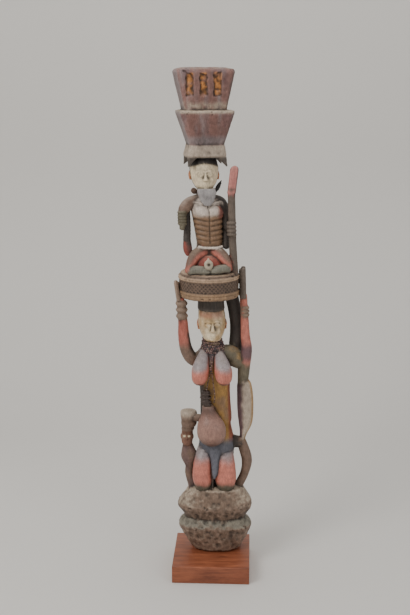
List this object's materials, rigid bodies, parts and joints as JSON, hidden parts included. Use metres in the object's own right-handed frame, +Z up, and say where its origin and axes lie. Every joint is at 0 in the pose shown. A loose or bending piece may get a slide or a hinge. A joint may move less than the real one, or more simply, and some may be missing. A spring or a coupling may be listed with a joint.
{
  "type": "carved veranda post",
  "caption": "Tall carved wooden post on a block plinth: a kneeling woman holds up a drum on which a bearded man sits with a staff under a tall stepped crown.",
  "frame": {"origin": "under the middle of the whole work's bounding box, on the plinth's underside", "axes": "+Z up along the post, -Y towards the side that the figures face, +X towards the staff"},
  "size_m": [0.238, 0.2332, 1.5053],
  "materials": {
    "painted_wood": "matte",
    "plinth_wood": "satin",
    "beads": "satin",
    "cord": "matte"
  },
  "bodies": {
    "root": {"carved_post": "painted_wood", "bead_necklace": "beads", "neck_charm": "cord", "wooden_plinth": "plinth_wood"}
  },
  "joints": []
}
